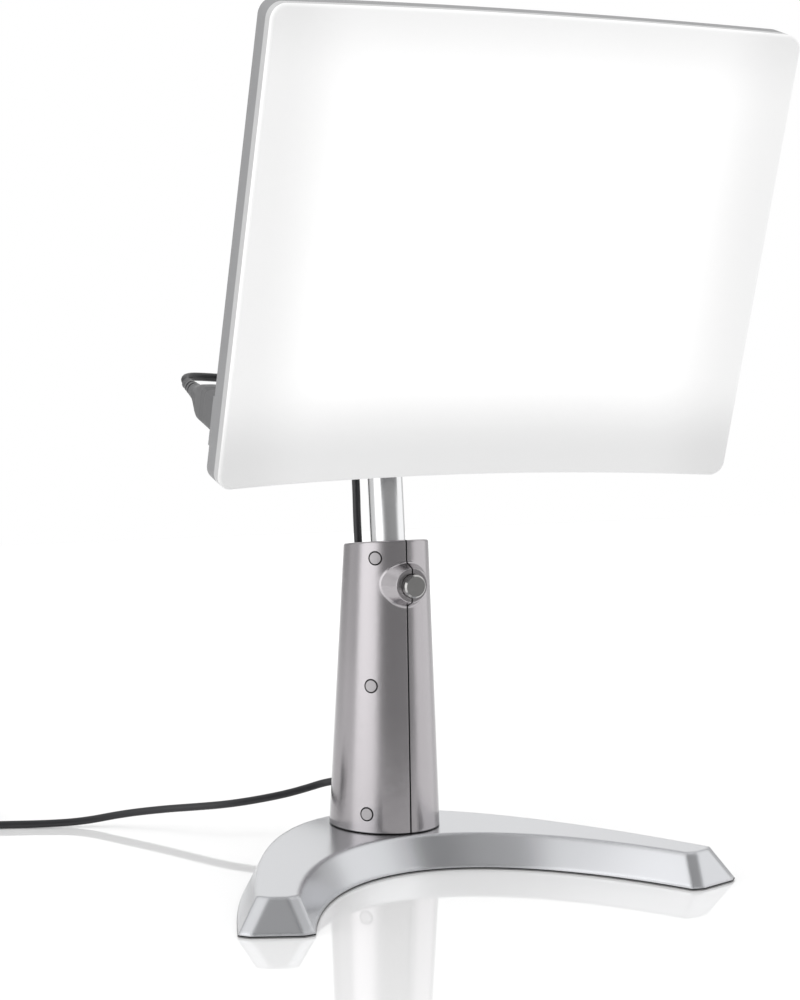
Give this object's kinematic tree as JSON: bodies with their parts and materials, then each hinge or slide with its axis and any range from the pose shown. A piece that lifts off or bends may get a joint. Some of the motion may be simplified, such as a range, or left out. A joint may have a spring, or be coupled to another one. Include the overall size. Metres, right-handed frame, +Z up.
{
  "type": "light therapy lamp",
  "caption": "Table lamp for light therapy: a wide curved light panel that tilts on a telescopic mast, with a push-button release, over a heavy crescent base.",
  "frame": {"origin": "on the table, under the middle of the column; the pads touch the table at z = 0", "axes": "+Z up, -Y the side the light panel faces, +X to the right of a user who faces the panel"},
  "size_m": [0.591, 0.5481, 0.6292],
  "materials": {
    "silver_casting": "satin silver paint",
    "silver_plastic": "satin silver",
    "cap_plastic": "satin silver",
    "steel": "plain zinc plate",
    "polished_steel": "polished",
    "grey_plastic": "fine matte",
    "light_grey_plastic": "fine matte",
    "guide_plastic": "natural, low friction",
    "black_plastic": "fine matte",
    "rubber": "matte",
    "opal_diffuser": "opal acrylic, lit from behind",
    "white_sheet": "white reflector paint",
    "lamp_glass": "phosphor-coated",
    "white_plastic": "matte",
    "ballast_case": "plain",
    "cord_jacket": "satin",
    "brass": "plain"
  },
  "bodies": {
    "base": {"crescent_base": "silver_casting", "ballast_plate": "steel", "rubber_feet": "rubber", "column_bolts": "steel", "column_left_half": "silver_plastic", "column_right_half": "silver_plastic", "column_screws": "steel", "screw_caps": "cap_plastic", "upper_mast_guide": "guide_plastic", "lower_mast_guide": "guide_plastic", "cord_grommet": "black_plastic", "table_cord": "cord_jacket", "cord_coil": "cord_jacket", "plug_cord": "cord_jacket", "mains_plug": "black_plastic", "plug_pins": "brass"},
    "release": {"release_button": "polished_steel", "lock_plate": "steel", "button_spring": "steel"},
    "mast": {"mast_tube": "polished_steel", "tube_end_collar": "guide_plastic", "mast_fork": "silver_casting", "hinge_pin": "steel", "hinge_nut": "steel", "friction_washers": "guide_plastic", "cord_clip": "black_plastic", "mast_cord": "cord_jacket"},
    "head": {"diffuser": "opal_diffuser", "bezel": "light_grey_plastic", "back_shell": "grey_plastic", "hinge_plate": "silver_casting", "hinge_backing_plate": "steel", "hinge_plate_screws": "steel", "reflector": "white_sheet", "lamp_top": "lamp_glass", "lamp_middle": "lamp_glass", "lamp_bottom": "lamp_glass", "lamp_sockets": "white_plastic", "lamp_clips": "white_plastic", "electronic_ballast": "ballast_case", "inlet_socket": "black_plastic", "cord_connector": "grey_plastic", "switch_housing": "black_plastic", "shell_screws": "steel", "head_cord": "cord_jacket"},
    "rocker": {"rocker_switch": "black_plastic"}
  },
  "joints": [
    {"name": "mast_slide", "type": "slide", "parent": "base", "child": "mast", "axis": [0, 0.1236, 0.9923], "range_m": [0, 0.112]},
    {"name": "head_tilt", "type": "hinge", "parent": "mast", "child": "head", "pos_m": [0, -0.096, 0.48], "axis": [1, 0, 0], "range_deg": [-25, 20], "deforming": ["head_cord"]},
    {"name": "button_press", "type": "slide", "parent": "base", "child": "release", "axis": [0, 1, 0], "range_m": [0, 0.003], "stiffness_N_per_m": 1200, "springref_m": -0.002, "deforming": ["button_spring"]},
    {"name": "power_rocker", "type": "hinge", "parent": "head", "child": "rocker", "pos_m": [0.12, -0.09992, 0.38936], "axis": [0, -0.2807, 0.9598], "range_deg": [0, 14]}
  ]
}
